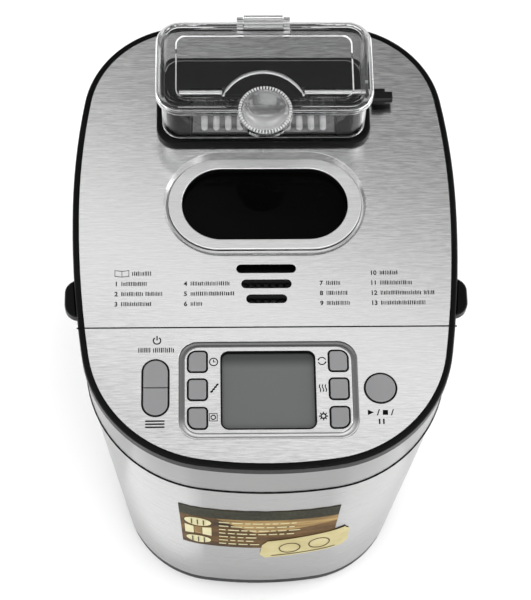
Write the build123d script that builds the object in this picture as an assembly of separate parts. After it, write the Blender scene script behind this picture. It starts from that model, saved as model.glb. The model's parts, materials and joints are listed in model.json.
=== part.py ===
from build123d import *
import math
import os

# Bread machine, millimetres. Z is up, the front faces -Y, the feet stand on Z = 0.
# Everything is drawn about the widest line of the oval plan (local Y = 0) and is
# moved by ORIGIN_SHIFT when saved, so that the origin is the middle of the footprint.

# ---- driving dimensions of the housing ----
HALF_WIDTH = 119.0          # half width of the steel top
FRONT_REACH = 177.0         # from the widest line to the front of the steel top
REAR_REACH = 135.0          # from the widest line to the rear of the steel top
FRONT_RADII = (700.0, 82.0, 289.0)   # side, corner and end arcs of the front half
REAR_RADII = (471.0, 65.0, 335.0)    # side, corner and end arcs of the rear half
TOP_Z = 294.0               # upper face of the steel top
SHEET = 1.0                 # steel top sheet
RIM_GROW = 4.2              # the black rim stands this far outside the steel
RIM_GAP = 0.6               # groove between steel and rim
RIM_ROUND = 1.8             # rounding of the rim's outer edge
RIM_TOP = TOP_Z + 0.3
LID_RIM_BOTTOM = 284.4
PANEL_RIM_BOTTOM = 286.0
WEB_BOTTOM = 289.0          # moulded deck under the steel sheets
WEB_TOP = TOP_Z - SHEET - 0.2
SEAM_Y = -86.6              # straight joint between lid and control panel
SEAM_GAP = 0.3              # half of the gap at that joint
BAND_GROW = 2.6             # upper silver band, outside face
BAND_BOTTOM = 248.0
BAND_TOP = 284.0
BAND_WALL = 2.0
SHELL_BOTTOM = 15.0
SHELL_TOP = 247.4
SHELL_TOP_GROW = 2.4
SHELL_TAPER = 3.79          # degrees
SHELL_WALL = 1.2
PAN_FLOOR_Z = 4.0           # underside of the base
INLET_Z = 34.0              # cord inlet in the rear of the body
BASE_GROW = -13.8
BASE_WALL = 3.0
FOOT_R = 11.0
FOOT_SPOTS = [(78.0, -100.0), (-78.0, -100.0), (72.0, 92.0), (-72.0, 92.0)]
REACH_EPS = 400.0           # larger than the machine, for cutting tools

# ---- rear hinge of the lid ----
HINGE_Y = 142.0
HINGE_Z = 277.0
HINGE_R = 3.4
HINGE_PIN_R = 1.6
HINGE_X = 52.0
HINGE_HALF = 6.0            # half length of the lid's barrel
CHEEK = 5.6
ORIGIN_SHIFT = (FRONT_REACH + RIM_GROW - HINGE_Y - HINGE_R) / 2

# ---- oven and bread pan ----
OVEN_Y = 12.0
OVEN_HALF_X = 92.0
OVEN_HALF_Y = 73.0
OVEN_CORNER = 26.0
OVEN_FLOOR = 91.0
OVEN_TOP = 279.0
DECK_TOP = 281.5
PAN_BOTTOM = 106.0
PAN_TOP = 231.0
PAN_HALF_X = (68.0, 76.0)   # bottom, top
PAN_HALF_Y = (50.0, 58.0)
PAN_WALL = 1.4
PAN_LIP = 4.0
BAIL_R = 2.2
BAIL_PIVOT_Z = 222.0
BAIL_X = 83.0
BAIL_REACH = 67.0
HEATER_Z = 114.0
HEATER_R = 3.3
SENSOR_X = 48.0
SENSOR_Z = 150.0

# ---- drive train ----
MOTOR_Y = -118.0
PULLEY_Z = (11.0, 21.0)
BIG_PULLEY_R = 42.0
SMALL_PULLEY_R = 8.4
SHAFT_R = 4.0
RUN_FIT = 0.05
BELT = 2.2
BELT_CLEAR = 0.4

# ---- control panel ----
BUTTON_CLEAR = 0.35
COLLAR = 0.75               # black moulded collar round every button
COLLAR_TOP = TOP_Z + 0.15
BUTTON_TOP = TOP_Z + 0.7
BUTTON_BASE = 288.5
FLANGE = 1.2
STEM_BOTTOM = 281.2
SWITCH_TOP = 279.8
BOARD_Z = (276.4, 278.0)
KEY_X = 43.6
KEY_ROWS = {"top": -110.0, "middle": -128.7, "bottom": -147.6}
KEY_SIZE = (10.7, 12.8)
KEY_CORNER = 1.8
KEY_BIG_CORNER = 4.7
PILL_X = -69.4
PILL_Y = -127.3
PILL_SIZE = (15.0, 36.2)
PILL_SPLIT = 0.6
START_X = 69.1
START_Y = -128.5
START_R = 9.2
LCD_Y = -129.1
LCD_SIZE = (56.8, 50.2)
LCD_TOP = TOP_Z - 1.9
GROOVE_OUTER = (111.0, 65.0)
GROOVE_INNER = (102.6, 56.8)
GROOVE_Y = -128.9
GROOVE_DEPTH = 0.75
GROOVE_TAPER = 62.0         # degrees from vertical

# ---- window and steam slots ----
WINDOW_Y = 0.5
RECESS = (130.4, 75.4)      # upper outline of the pressed dish
DISH = (122.6, 63.6)        # lower outline of the dish
DISH_DEPTH = 2.6
RING = (124.0, 64.8)        # flat steel ring round the eye
RING_Z = (292.2, 293.8)
LEDGE = (136.4, 80.4)       # black ledge that carries the ring
BEZEL_EYE = (106.6, 51.2)
GLASS = (117.0, 61.0)
SLOTS = [(-46.2, 37.8), (-56.8, 31.8), (-67.2, 25.8)]
SLOT_HEIGHT = 6.1

# ---- ingredient dispenser on the lid ----
BEZEL_X = 69.7
BEZEL_Y = (42.2, 108.0)
BEZEL_TOP = 299.0
BIN_X = 66.0
BIN_Y = (45.8, 105.2)
BIN_TOP = 335.0
BIN_WALL = 1.8
COVER_X = 69.6
COVER_Y = (43.2, 110.6)
COVER_BOTTOM = 332.0
COVER_TOP = 339.0
COVER_WALL = 2.0
COVER_ROUND = 3.6
COVER_PANEL = (56.8, 52.4, 99.4)   # sunk middle of the cover: half width, front, rear
COVER_SINK = 1.3
COVER_GROOVE = 5.6          # shallow groove this far inside the cover's edge
COVER_HINGE = (114.0, 331.6)
COVER_BARREL_HALF = 12.6
COVER_LUG = (13.2, 17.2)
COVER_LUG_R = 2.7
TAB_R = 17.4
TAB_Y = 42.8
BOSS = (62.4, 29.0, 308.0)  # half-round hood: centre, radius, top
BOSS_FRONT = 71.6
BOSS_UNDER = 306.0
FLAP_AXIS = (77.6, 302.3)
FLAP_X = 46.0
FLAP_PIN_R = 1.8
FLAP_FRONT = 50.2
FLAP_BARREL = 27.0          # half length of the flap's barrel, under the hood
RIB_PITCH = 7.7
RIB_R = 2.2
CHUTE_X = 47.5
CHUTE_Y = (48.6, 82.4)
CHUTE_WALL = 1.5


# ---------- small helpers ----------

def corner_centre(half, reach, side_r, corner_r, end_r):
    """Centre of the corner arc that is tangent inside the side arc and the end arc."""
    side_c = Vector(half - side_r, 0)
    end_c = Vector(0, reach - end_r)
    span = end_c - side_c
    near = side_r - corner_r
    far = end_r - corner_r
    along = (near**2 - far**2 + span.length**2) / (2 * span.length)
    across = math.sqrt(near**2 - along**2)
    unit = span.normalized()
    one = side_c + unit * along + Vector(unit.Y, -unit.X) * across
    two = side_c + unit * along - Vector(unit.Y, -unit.X) * across
    return max((one, two), key=lambda point: point.X + point.Y)


def arc_between(centre, radius, start, end):
    """Arc of a circle through two of its points, the short way round."""
    middle = centre + ((start - centre) + (end - centre)).normalized() * radius
    return ThreePointArc(start, middle, end)


def oval_half(grow, reach, radii, sign):
    """Arcs of the front (sign -1) or rear (sign 1) half of the plan outline."""
    half = HALF_WIDTH + grow
    reach = reach + grow
    side_r, corner_r, end_r = (radius + grow for radius in radii)
    centre = corner_centre(half, reach, side_r, corner_r, end_r)
    side_c = Vector(half - side_r, 0)
    end_c = Vector(0, reach - end_r)
    first = side_c + (centre - side_c).normalized() * side_r
    second = end_c + (centre - end_c).normalized() * end_r
    arcs = []
    for mirror in (1, -1):
        def put(point, mirror=mirror):
            return Vector(point.X * mirror, point.Y * sign)
        arcs.append(arc_between(put(side_c), side_r, put(Vector(half, 0)), put(first)))
        arcs.append(arc_between(put(centre), corner_r, put(first), put(second)))
    top = Vector(0, reach * sign)
    arcs.append(ThreePointArc(Vector(second.X, second.Y * sign), top,
                              Vector(-second.X, second.Y * sign)))
    return arcs


def oval(grow):
    """Plan outline of the machine as a face, grown outward by grow."""
    edges = oval_half(grow, FRONT_REACH, FRONT_RADII, -1)
    edges += oval_half(grow, REAR_REACH, REAR_RADII, 1)
    return make_face(edges)


def prism(face, low, high):
    """Face on the XY plane extruded between two heights."""
    return extrude(Pos(0, 0, low) * face, amount=high - low)


def oval_ring(outer, inner, low, high):
    return prism(oval(outer), low, high) - prism(oval(inner), low - 1, high + 1)


def block(x0, x1, y0, y1, z0, z1):
    """Box between corner values."""
    size = (x1 - x0, y1 - y0, z1 - z0)
    return Pos((x0 + x1) / 2, (y0 + y1) / 2, (z0 + z1) / 2) * Box(*size)


def slab(x0, x1, y0, y1, z0, z1, radius):
    """Box with rounded vertical edges."""
    face = Pos((x0 + x1) / 2, (y0 + y1) / 2) * RectangleRounded(x1 - x0, y1 - y0, radius)
    return prism(face, z0, z1)


def stadium(size, y, low, high):
    """Slot-shaped prism, long in X."""
    return prism(Pos(0, y) * SlotOverall(*size), low, high)


def rod_z(x, y, radius, low, high):
    return Pos(x, y, (low + high) / 2) * Cylinder(radius, high - low)


def rod_x(y, z, radius, x0, x1):
    return Pos((x0 + x1) / 2, y, z) * Rot(0, 90, 0) * Cylinder(radius, x1 - x0)


def rod_y(x, z, radius, y0, y1):
    return Pos(x, (y0 + y1) / 2, z) * Rot(90, 0, 0) * Cylinder(radius, y1 - y0)


def behind(y):
    """Half space with larger Y, as a big box."""
    return block(-REACH_EPS, REACH_EPS, y, REACH_EPS, -10, REACH_EPS)


def ahead(y):
    """Half space with smaller Y, as a big box."""
    return block(-REACH_EPS, REACH_EPS, -REACH_EPS, y, -10, REACH_EPS)


def flat_edges(part, height):
    """Edges that lie wholly at one height."""
    return part.edges().filter_by_position(Axis.Z, height - 0.01, height + 0.01)


# ---------- housing ----------

def base_pan():
    strip = prism(oval(BASE_GROW), PAN_FLOOR_Z, SHELL_BOTTOM - 0.3)
    strip = fillet(flat_edges(strip, PAN_FLOOR_Z), 1.5)
    lip = prism(oval(BASE_GROW - 1.4), SHELL_BOTTOM - 0.3, SHELL_BOTTOM + 8)
    hollow = prism(oval(BASE_GROW - BASE_WALL), PAN_FLOOR_Z + 3, SHELL_BOTTOM + 9)
    pan = strip + lip - hollow
    for x, y in FOOT_SPOTS:
        pan -= rod_z(x, y, 4.0, 0, 10)
    for x, y in post_spots():
        pan -= rod_z(x, y, 2.2, 0, 10) + rod_z(x, y, 4.4, 0, PAN_FLOOR_Z + 1.6)
    for step in range(-3, 4):
        pan -= block(step * 9 - 2, step * 9 + 2, -152, -134, 0, 10)
    return pan


def rubber_feet():
    feet = []
    for x, y in FOOT_SPOTS:
        disc = rod_z(x, y, FOOT_R, 0, PAN_FLOOR_Z)
        disc = chamfer(flat_edges(disc, 0), 1.0)
        feet.append(disc + rod_z(x, y, 3.7, PAN_FLOOR_Z, 8.4))
    return feet


def shell_solid(grow, low, high):
    """Tapered body of the lower housing; grow is measured from its outer skin."""
    slope = math.tan(math.radians(SHELL_TAPER))
    at_low = SHELL_TOP_GROW - (SHELL_TOP - low) * slope + grow
    return extrude(Pos(0, 0, low) * oval(at_low), amount=high - low, taper=-SHELL_TAPER)


def body_shell():
    shell = shell_solid(0, SHELL_BOTTOM, SHELL_TOP)
    shell -= shell_solid(-SHELL_WALL, SHELL_BOTTOM - 1, SHELL_TOP + 1)
    shell -= rod_y(0, INLET_Z, 8.0, 60, 200)
    for row in (62.0, 96.0):
        for step in range(-5, 6):
            slot = Rot(90, 0, 0) * prism(SlotOverall(24, 3.2, rotation=90), -200, -60)
            shell -= Pos(step * 9.0, 0, row) * slot
    return shell


def cord_inlet():
    skin = shell_solid(0, SHELL_BOTTOM, 80)
    flange = rod_y(0, INLET_Z, 12.0, 100, REAR_REACH - 7.5) - skin
    tube = rod_y(0, INLET_Z, 7.6, 108, REAR_REACH - 8.5)
    return flange + tube - rod_y(0, INLET_Z, 3.6, 90, 200)


def upper_band():
    return oval_ring(BAND_GROW, BAND_GROW - BAND_WALL, BAND_BOTTOM, BAND_TOP)


def hinge_brackets():
    """Two fixed brackets at the rear, each with two cheeks for the lid's barrel."""
    skin = prism(oval(BAND_GROW), BAND_BOTTOM, BAND_TOP + 4)
    cheek_side = make_face(Polyline(
        (120, 252), (138, 252), (HINGE_Y + 3.2, HINGE_Z - 1.2), (HINGE_Y, HINGE_Z + 1),
        (138.6, HINGE_Z + 1), (120, HINGE_Z - 4), close=True))
    inner = HINGE_HALF + 0.4
    outer = inner + CHEEK
    made = []
    for side in (-1, 1):
        x = side * HINGE_X
        part = block(x - outer, x + outer, 120, 138.0, 252, 268)
        for edge in (-1, 1):
            low, high = sorted((x + edge * inner, x + edge * outer))
            part += Pos(low, 0, 0) * extrude(Plane.YZ * cheek_side, amount=high - low)
            part += rod_x(HINGE_Y, HINGE_Z, HINGE_R, low, high)
        part -= skin
        part -= rod_x(HINGE_Y, HINGE_Z, HINGE_PIN_R, x - 30, x + 30)
        made.append(part)
    return made


def hinge_pins():
    reach = HINGE_HALF + 0.4 + CHEEK
    return [rod_x(HINGE_Y, HINGE_Z, HINGE_PIN_R, side * HINGE_X - reach, side * HINGE_X + reach)
            for side in (-1, 1)]


# ---------- control panel ----------

def key_centres():
    spots = {}
    for side, sign in (("left", -1), ("right", 1)):
        for row, y in KEY_ROWS.items():
            spots[f"button_{side}_{row}"] = (sign * KEY_X, y)
    return spots


def key_face(name, grow):
    """Outline of one small key: the outer corners of the end keys are rounder."""
    x, y = key_centres()[name]
    side = -1 if "left" in name else 1
    face = Rectangle(KEY_SIZE[0] + 2 * grow, KEY_SIZE[1] + 2 * grow)
    big = []
    if "top" in name:
        big = [(side, 1)]
    if "bottom" in name:
        big = [(side, -1)]
    round_ones = [v for v in face.vertices()
                  if (round(math.copysign(1, v.X)), round(math.copysign(1, v.Y))) in big]
    small_ones = [v for v in face.vertices() if v not in round_ones]
    face = fillet(small_ones, KEY_CORNER + grow)
    if round_ones:
        spot = round_ones[0]
        target = min(face.vertices(), key=lambda v: math.dist((v.X, v.Y), (spot.X, spot.Y)))
        face = fillet(target, KEY_BIG_CORNER + grow)
    return Pos(x, y) * face


def pill_face(grow):
    return Pos(PILL_X, PILL_Y) * SlotOverall(PILL_SIZE[1] + 2 * grow, PILL_SIZE[0] + 2 * grow,
                                             rotation=90)


def start_face(grow):
    return Pos(START_X, START_Y) * Circle(START_R + grow)


def lcd_face(grow):
    return Pos(0, LCD_Y) * RectangleRounded(LCD_SIZE[0] + 2 * grow, LCD_SIZE[1] + 2 * grow, 4.0 + grow)


def panel_openings(grow, low, high):
    """Solids over every button and the display, grown sideways by grow."""
    tool = prism(pill_face(grow), low, high) + prism(start_face(grow), low, high)
    for name in key_centres():
        tool += prism(key_face(name, grow), low, high)
    return tool + prism(lcd_face(grow - 0.15), low, high)


def rim_ring(low):
    """Black rim round the steel top, rounded on its outer upper edge."""
    rim = prism(oval(RIM_GROW), low, RIM_TOP)
    rim = fillet(flat_edges(rim, RIM_TOP), RIM_ROUND)
    return rim - prism(oval(RIM_GAP), low - 1, RIM_TOP + 1)


def control_housing():
    rim = rim_ring(PANEL_RIM_BOTTOM)
    web = prism(oval(RIM_GAP + 0.1), WEB_BOTTOM, WEB_TOP)
    neck = oval_ring(0.0, -2.4, 276.0, WEB_BOTTOM)
    housing = (rim + web + neck) & ahead(SEAM_Y - SEAM_GAP)
    wall = prism(oval(0.0), 270.0, WEB_BOTTOM) & block(-200, 200, SEAM_Y - 2.6, SEAM_Y - SEAM_GAP, 0, 300)
    housing += wall
    for x in (-56.0, 56.0):
        for y in (-103.0, -150.0):
            housing += rod_z(x, y, 2.4, BOARD_Z[1], WEB_BOTTOM + 0.5)
    housing += panel_openings(COLLAR + BUTTON_CLEAR, WEB_TOP - 0.5, COLLAR_TOP)
    return housing - panel_openings(BUTTON_CLEAR, WEB_BOTTOM - 0.5, COLLAR_TOP + 1)


def control_panel():
    sheet = prism(oval(0.0), TOP_Z - SHEET, TOP_Z) & ahead(SEAM_Y - SEAM_GAP)
    outer = Pos(0, GROOVE_Y, TOP_Z) * RectangleRounded(*GROOVE_OUTER, 12.0)
    inner = Pos(0, GROOVE_Y, TOP_Z) * RectangleRounded(*GROOVE_INNER, 9.0)
    groove = extrude(outer, amount=-GROOVE_DEPTH, taper=GROOVE_TAPER)
    groove -= extrude(inner, amount=-GROOVE_DEPTH, taper=-GROOVE_TAPER)
    return sheet - groove - panel_openings(COLLAR + BUTTON_CLEAR + 0.08, TOP_Z - 3, TOP_Z + 1)


def button(cap_face, flange_face, centre):
    cap = prism(cap_face, BUTTON_BASE - 2.4, BUTTON_TOP)
    cap = fillet(flat_edges(cap, BUTTON_TOP), 0.5)
    flange = prism(flange_face, BUTTON_BASE - 2.4, BUTTON_BASE)
    return cap + flange + rod_z(*centre, 2.0, STEM_BOTTOM, BUTTON_BASE - 2)


def small_buttons():
    made = {}
    for name, centre in key_centres().items():
        made[name] = button(key_face(name, 0), key_face(name, FLANGE), centre)
    return made


def pill_buttons():
    """The long key is split across its middle into two buttons."""
    made = {}
    for name, sign in (("button_power", 1), ("button_menu", -1)):
        y0 = PILL_Y + PILL_SPLIT / 2
        half = behind(y0) if sign > 0 else ahead(PILL_Y - PILL_SPLIT / 2)
        cap = prism(pill_face(0), BUTTON_BASE - 2.4, BUTTON_TOP) & half
        cap = fillet(flat_edges(cap, BUTTON_TOP), 0.5)
        flange = prism(pill_face(FLANGE), BUTTON_BASE - 2.4, BUTTON_BASE) & half
        made[name] = cap + flange + rod_z(PILL_X, PILL_Y + sign * 9.0, 2.0, STEM_BOTTOM, BUTTON_BASE - 2)
    return made


def start_button():
    return button(start_face(0), start_face(FLANGE), (START_X, START_Y))


def lcd_window():
    return prism(lcd_face(0), WEB_BOTTOM + 0.2, LCD_TOP)


def lcd_module():
    module = block(-31, 31, LCD_Y - 27, LCD_Y + 27, 283.4, 288.8)
    for y in (LCD_Y - 24, LCD_Y + 24):
        module += block(-24, 24, y - 1.5, y + 1.5, BOARD_Z[1], 284)
    return module


def control_board():
    """Printed board with a tact switch under every button and a few components."""
    board = block(-80, 80, -152, -98, *BOARD_Z)
    spots = list(key_centres().values())
    spots += [(PILL_X, PILL_Y + 9.0), (PILL_X, PILL_Y - 9.0), (START_X, START_Y)]
    for x, y in spots:
        board += block(x - 3, x + 3, y - 3, y + 3, BOARD_Z[1], SWITCH_TOP - 0.8)
        board += rod_z(x, y, 1.8, SWITCH_TOP - 1, SWITCH_TOP)
    board += block(-9, 9, -138, -120, BOARD_Z[0] - 2, BOARD_Z[0])
    return board - rod_z(-56, -103, 1.2, 270, 280) - rod_z(56, -103, 1.2, 270, 280)


# ---------- oven ----------

def oven_outline(grow):
    width = 2 * (OVEN_HALF_X + grow)
    depth = 2 * (OVEN_HALF_Y + grow)
    return Pos(0, OVEN_Y) * RectangleRounded(width, depth, OVEN_CORNER + grow)


def top_deck():
    deck = prism(oval(0.4), OVEN_TOP, DECK_TOP) & behind(SEAM_Y + SEAM_GAP)
    hole = prism(oven_outline(-1.4), OVEN_TOP - 1, DECK_TOP + 1)
    return deck - hole


def oven_chamber():
    chamber = prism(oven_outline(0), OVEN_FLOOR, OVEN_TOP)
    chamber = fillet(flat_edges(chamber, OVEN_FLOOR), 6.0)
    hollow = prism(oven_outline(-1.0), OVEN_FLOOR + 1, OVEN_TOP + 1)
    hollow = fillet(flat_edges(hollow, OVEN_FLOOR + 1), 5.0)
    chamber += prism(oven_outline(5), OVEN_TOP - 1.2, OVEN_TOP)
    chamber -= hollow
    chamber -= rod_z(0, OVEN_Y, 13.0, OVEN_FLOOR - 1, OVEN_FLOOR + 2)
    front = OVEN_Y - OVEN_HALF_Y
    for x in (-15, 15):
        chamber -= rod_y(x, HEATER_Z, 4.4, front - 10, front + 10)
    return chamber - rod_y(SENSOR_X, SENSOR_Z, 3.0, front - 10, front + 10)


def heating_element():
    """Tubular heater: an open rounded loop whose two ends leave through the front wall."""
    half_x = OVEN_HALF_X - 8
    front = OVEN_Y - OVEN_HALF_Y + 9
    rear = OVEN_Y + OVEN_HALF_Y - 9
    corner = 20.0
    exit_y = OVEN_Y - OVEN_HALF_Y - 12
    lead = 15.0
    path = FilletPolyline(
        (-lead, exit_y), (-lead, front), (-half_x, front), (-half_x, rear),
        (half_x, rear), (half_x, front), (lead, front), (lead, exit_y),
        radius=[8.0, corner, corner, corner, corner, 8.0],
    )
    path = Pos(0, 0, HEATER_Z) * path
    start = Plane(origin=path @ 0, z_dir=path % 0)
    return sweep(start * Circle(HEATER_R), path=path)


def element_clips():
    """Four brackets that hold the heater off the oven wall."""
    made = []
    x_in = OVEN_HALF_X - 1.05
    for side in (-1, 1):
        for y in (OVEN_Y - 30, OVEN_Y + 30):
            low, high = sorted((side * (x_in - 3), side * x_in))
            part = block(low, high, y - 4, y + 4, HEATER_Z - 9, HEATER_Z + 9)
            low, high = sorted((side * (x_in - 11.5), side * (x_in - 3)))
            part += block(low, high, y - 4, y + 4, HEATER_Z - HEATER_R - 3, HEATER_Z - HEATER_R)
            made.append(part)
    return made


def temperature_sensor():
    front = OVEN_Y - OVEN_HALF_Y
    probe = rod_y(SENSOR_X, SENSOR_Z, 2.6, front - 8, front + 9)
    return probe + rod_y(SENSOR_X, SENSOR_Z, 6.0, front - 8, front - 0.1)


def pan_seat():
    """Cast ring on the oven floor with three lugs that locate the pan's foot."""
    floor = OVEN_FLOOR + 1
    seat = rod_z(0, OVEN_Y, 46, floor, floor + 2) - rod_z(0, OVEN_Y, 18, floor - 1, floor + 3)
    wall = rod_z(0, OVEN_Y, 42, floor, floor + 9) - rod_z(0, OVEN_Y, 39, floor - 1, floor + 10)
    return seat + wall


def bearing_housing():
    """Cast bridge under the oven floor with the tower of the drive bearing."""
    top = OVEN_FLOOR
    part = rod_z(0, OVEN_Y, 34, top - 4, top) + rod_z(0, OVEN_Y, 12, 58, top + 2)
    part += block(-72, 72, OVEN_Y - 9, OVEN_Y + 9, top - 4, top)
    return part - rod_z(0, OVEN_Y, SHAFT_R + RUN_FIT, 50, top + 5)


def post_spots():
    return [(x, y) for x in (-70.0, 70.0) for y in (OVEN_Y - 52, OVEN_Y + 52)]


def chamber_posts():
    made = []
    for x, y in post_spots():
        post = rod_z(x, y, 6, PAN_FLOOR_Z + 3, OVEN_FLOOR)
        made.append(post - rod_z(x, y, 1.9, 0, 22))
    return made


def base_screws():
    made = []
    for x, y in post_spots():
        head = rod_z(x, y, 3.8, PAN_FLOOR_Z + 0.2, PAN_FLOOR_Z + 1.6)
        head -= block(x - 3, x + 3, y - 0.4, y + 0.4, 0, PAN_FLOOR_Z + 0.8)
        made.append(head + rod_z(x, y, 1.9, PAN_FLOOR_Z + 1.6, 20))
    return made


# ---------- drive ----------

def motor():
    """Vertical motor: laminated stack, windings and end bells."""
    part = slab(-31, 31, MOTOR_Y - 31, MOTOR_Y + 31, 42, 72, 5)
    part += rod_z(0, MOTOR_Y, 27, 34, 80) + rod_z(0, MOTOR_Y, 12, 29, 86)
    return part - rod_z(0, MOTOR_Y, SHAFT_R + RUN_FIT, 20, 90)


def motor_bracket():
    plate = slab(-38, 38, MOTOR_Y - 36, MOTOR_Y + 36, 26, 29, 6)
    plate -= rod_z(0, MOTOR_Y, 9, 20, 32)
    for x in (-33, 33):
        for y in (MOTOR_Y - 31, MOTOR_Y + 31):
            plate += rod_z(x, y, 4, PAN_FLOOR_Z + 3, 26)
    return plate


def motor_shaft():
    return rod_z(0, MOTOR_Y, SHAFT_R, PULLEY_Z[0], 88)


def flanged_pulley(y, radius, spokes):
    """Pulley with two flanges and, on the large one, a pattern of round openings."""
    low, high = PULLEY_Z
    part = rod_z(0, y, radius, low, high)
    if spokes:
        for index in range(spokes):
            angle = 2 * math.pi * index / spokes
            part -= rod_z(radius * 0.6 * math.cos(angle), y + radius * 0.6 * math.sin(angle), 7, 0, 40)
    return part - rod_z(0, y, SHAFT_R, 0, 40)


def drive_shaft():
    return rod_z(0, OVEN_Y, SHAFT_R, PULLEY_Z[0], OVEN_FLOOR + 4)


def drive_dog():
    """Disc on the shaft's top with two upright lugs."""
    top = OVEN_FLOOR + 6.5
    part = rod_z(0, OVEN_Y, 15, OVEN_FLOOR + 2.6, top)
    part -= rod_z(0, OVEN_Y, SHAFT_R, 0, OVEN_FLOOR + 4)
    for sign in (-1, 1):
        y = OVEN_Y + sign * 11
        part += block(-4, 4, y - 2.5, y + 2.5, top - 1, top + 5)
    return part


def drive_belt():
    """Flat belt loop round both pulleys, drawn just clear of them."""
    def loop(grow):
        big = Pos(0, OVEN_Y) * Circle(BIG_PULLEY_R + grow)
        small = Pos(0, MOTOR_Y) * Circle(SMALL_PULLEY_R + grow)
        span = OVEN_Y - MOTOR_Y
        lean = math.asin((BIG_PULLEY_R - SMALL_PULLEY_R) / span)
        across = (math.cos(lean), math.sin(lean))
        ends = []
        for centre, radius in ((OVEN_Y, BIG_PULLEY_R + grow), (MOTOR_Y, SMALL_PULLEY_R + grow)):
            ends.append((radius * across[0], centre - radius * across[1]))
        (bx, by), (sx, sy) = ends
        strip = make_face(Polyline((bx, by), (-bx, by), (-sx, sy), (sx, sy), close=True))
        return big + small + strip
    low, high = PULLEY_Z[0] + 1.5, PULLEY_Z[1] - 1.5
    return prism(loop(BELT_CLEAR + BELT), low, high) - prism(loop(BELT_CLEAR), low - 1, high + 1)


def power_board():
    """Mains board on the base beside the motor, with its tall components."""
    board = block(46, 84, -118, -62, 14, 15.6)
    board += rod_z(56, -106, 7, 15.6, 40) + rod_z(74, -106, 5, 15.6, 34)
    board += block(50, 78, -90, -68, 15.6, 42)
    for x in (50, 80):
        for y in (-114, -66):
            board += rod_z(x, y, 2.5, PAN_FLOOR_Z + 3, 14)
    return board


# ---------- bread pan and paddle ----------

def pan_outline(half_x, half_y, radius):
    return Pos(0, OVEN_Y) * RectangleRounded(2 * half_x, 2 * half_y, radius)


def pan_solid(shrink, low, high, radius):
    """Tapered block between the pan's bottom and top outlines, shrunk evenly."""
    bottom = pan_outline(PAN_HALF_X[0] - shrink, PAN_HALF_Y[0] - shrink, radius)
    top = pan_outline(PAN_HALF_X[1] - shrink, PAN_HALF_Y[1] - shrink, radius)
    return loft([Pos(0, 0, low) * bottom, Pos(0, 0, high) * top], ruled=True)


def bread_pan():
    pan = pan_solid(0, PAN_BOTTOM, PAN_TOP, 22)
    pan = fillet(flat_edges(pan, PAN_BOTTOM), 5)
    lip = prism(pan_outline(PAN_HALF_X[1] + PAN_LIP, PAN_HALF_Y[1] + PAN_LIP, 24), PAN_TOP - 1.6, PAN_TOP)
    hollow = pan_solid(PAN_WALL, PAN_BOTTOM + PAN_WALL, PAN_TOP + 0.001, 20.6)
    hollow = fillet(flat_edges(hollow, PAN_BOTTOM + PAN_WALL), 4)
    pan = pan + lip - hollow
    pan -= rod_z(0, OVEN_Y, 8, PAN_BOTTOM - 1, PAN_BOTTOM + 3)
    for sign in (-1, 1):
        low, high = sorted((sign * 74.2, sign * (BAIL_X + 3)))
        ear = rod_x(OVEN_Y, BAIL_PIVOT_Z, 6, low, high)
        pan += ear & block(*sorted((sign * 74.6, sign * (BAIL_X - 3.0))), -50, 80, 200, PAN_TOP - 1)
    pan -= hollow
    for sign in (-1, 1):
        low, high = sorted((sign * 76.0, sign * 90.0))
        pan -= rod_x(OVEN_Y, BAIL_PIVOT_Z, BAIL_R + RUN_FIT, low, high)
    return pan


def pan_foot():
    """Turned foot under the pan that drops into the seat, with the shaft bearing."""
    foot = rod_z(0, OVEN_Y, 38, PAN_BOTTOM - 11.7, PAN_BOTTOM) - rod_z(0, OVEN_Y, 34, 90, PAN_BOTTOM - 2.5)
    foot += rod_z(0, OVEN_Y, 7.9, PAN_BOTTOM - 2.5, PAN_BOTTOM + 7)
    return foot - rod_z(0, OVEN_Y, SHAFT_R + RUN_FIT, 90, 140)


def pan_handle():
    """Wire bail, folded forward: two arms, a cross grip and inward ends in the ears."""
    reach = OVEN_Y - BAIL_REACH
    wire_x = BAIL_X
    z = BAIL_PIVOT_Z
    path = FilletPolyline((-wire_x + 5.0, OVEN_Y, z), (-wire_x, OVEN_Y, z), (-wire_x, reach, z),
                          (wire_x, reach, z), (wire_x, OVEN_Y, z), (wire_x - 5.0, OVEN_Y, z),
                          radius=[2.4, 14.0, 14.0, 2.4])
    start = Plane(origin=path @ 0, z_dir=path % 0)
    return sweep(start * Circle(BAIL_R), path=path)


def pan_shaft():
    """Shaft through the pan's bottom, with the two-wing coupling pressed on below."""
    shaft = rod_z(0, OVEN_Y, SHAFT_R, 98.5, PAN_BOTTOM + 24)
    return shaft + block(-14, 14, OVEN_Y - 3, OVEN_Y + 3, 98.5, 102.4)


def kneading_paddle():
    """Hub with one swept blade that leans back."""
    low = PAN_BOTTOM + 8
    hub = rod_z(0, OVEN_Y, 8.5, low, low + 19)
    blade = Pos(22, OVEN_Y, low + 11) * Rot(28, 0, 0) * Box(40, 3.2, 24)
    blade = blade & block(0, 50, -60, 80, low, low + 24)
    tip = rod_z(0, OVEN_Y, 41, low, low + 30)
    paddle = hub + (blade & tip)
    return paddle - rod_z(0, OVEN_Y, SHAFT_R, 90, PAN_BOTTOM + 24)


# ---------- lid ----------

def slot_at(size, grow, z):
    return Pos(0, WINDOW_Y, z) * SlotOverall(size[0] + 2 * grow, size[1] + 2 * grow)


def dish():
    """Hollow of the pressed dish round the window, with its opening."""
    slope = loft([slot_at(DISH, 0, TOP_Z - DISH_DEPTH), slot_at(RECESS, 0, TOP_Z)], ruled=True)
    return slope + stadium(DISH, WINDOW_Y, TOP_Z - 8, TOP_Z - DISH_DEPTH)


def dish_lip():
    """Outside of the pressed dish, one sheet thickness larger."""
    top = slot_at(RECESS, 0.3, TOP_Z - SHEET)
    return loft([slot_at(DISH, 0.9, TOP_Z - DISH_DEPTH - 0.4), top], ruled=True)


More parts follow.
